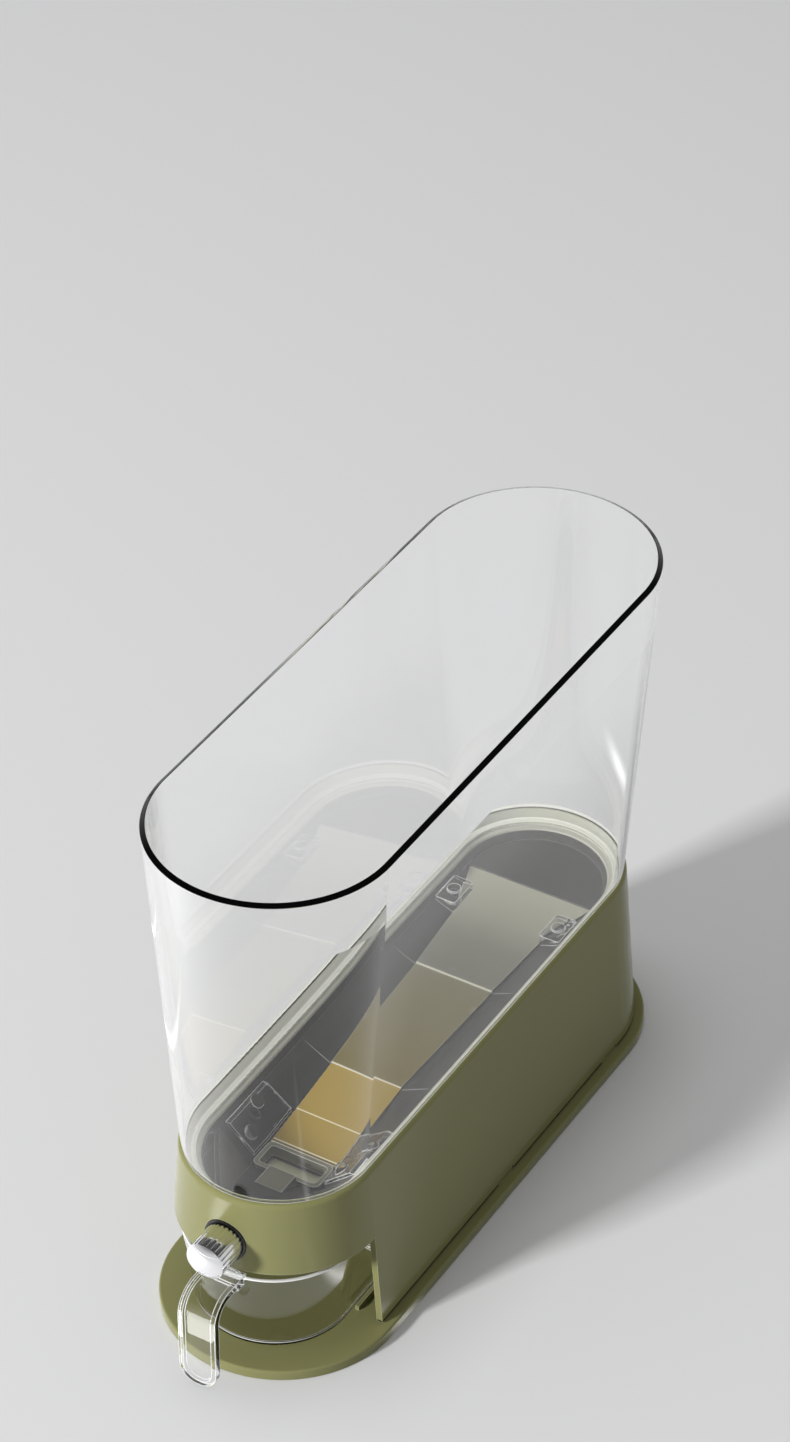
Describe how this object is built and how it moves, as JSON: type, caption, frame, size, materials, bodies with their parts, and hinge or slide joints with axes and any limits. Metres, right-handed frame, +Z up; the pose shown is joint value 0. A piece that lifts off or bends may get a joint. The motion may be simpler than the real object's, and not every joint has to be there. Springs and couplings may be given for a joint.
{
  "type": "rice dispenser",
  "caption": "Obround rice dispenser: flared clear bin over a hopper with a press-knob gate, and a clear pull-out cup with a bent tab handle below.",
  "frame": {"origin": "centre of the foot's underside, on the surface that the dispenser stands on", "axes": "+Z up, +Y to the rear along the body's length, -Y is the front with the knob and the cup, +X to the right seen from the front"},
  "size_m": [0.15, 0.4636, 0.3619],
  "materials": {
    "olive_plastic": "satin gloss",
    "clear_plastic": "clear, polished",
    "hopper_grey": "satin",
    "slide_beige": "satin",
    "chute_amber": "translucent, polished",
    "gate_plastic": "satin",
    "dark_plastic": "gloss",
    "knob_chrome": "polished",
    "screw_steel": "zinc plated",
    "spring_steel": "plain",
    "seal_rubber": "matte",
    "pad_rubber": "matte"
  },
  "bodies": {
    "body": {"foot_tray": "olive_plastic", "anti_slip_pads": "pad_rubber", "housing_shell": "olive_plastic", "housing_screws": "screw_steel", "hopper_tray": "hopper_grey", "rice_slide": "slide_beige", "lower_chute": "chute_amber", "outlet_frame": "clear_plastic", "gate_guide": "hopper_grey", "guide_screws": "screw_steel", "rod_channel": "clear_plastic", "hopper_screws": "screw_steel", "screw_covers": "clear_plastic", "knob_collar": "dark_plastic", "return_spring": "spring_steel", "bin_seal": "seal_rubber"},
    "gate": {"gate_plate": "gate_plastic", "push_rod": "screw_steel", "rod_clip": "spring_steel", "knob_sleeve": "knob_chrome", "knob_cap": "knob_chrome"},
    "drawer": {"drawer_cup": "clear_plastic", "drawer_handle": "clear_plastic"},
    "bin": {"clear_bin": "clear_plastic"}
  },
  "joints": [
    {"name": "knob_press", "type": "slide", "parent": "body", "child": "gate", "axis": [0, 1, 0], "range_m": [0, 0.014], "stiffness_N_per_m": 250, "springref_m": -0.01, "deforming": ["return_spring"]},
    {"name": "drawer_slide", "type": "slide", "parent": "body", "child": "drawer", "axis": [0, -1, 0], "range_m": [0, 0.14]},
    {"name": "bin_lift", "type": "slide", "parent": "body", "child": "bin", "axis": [0, 0, 1], "range_m": [0, 0.06]}
  ]
}
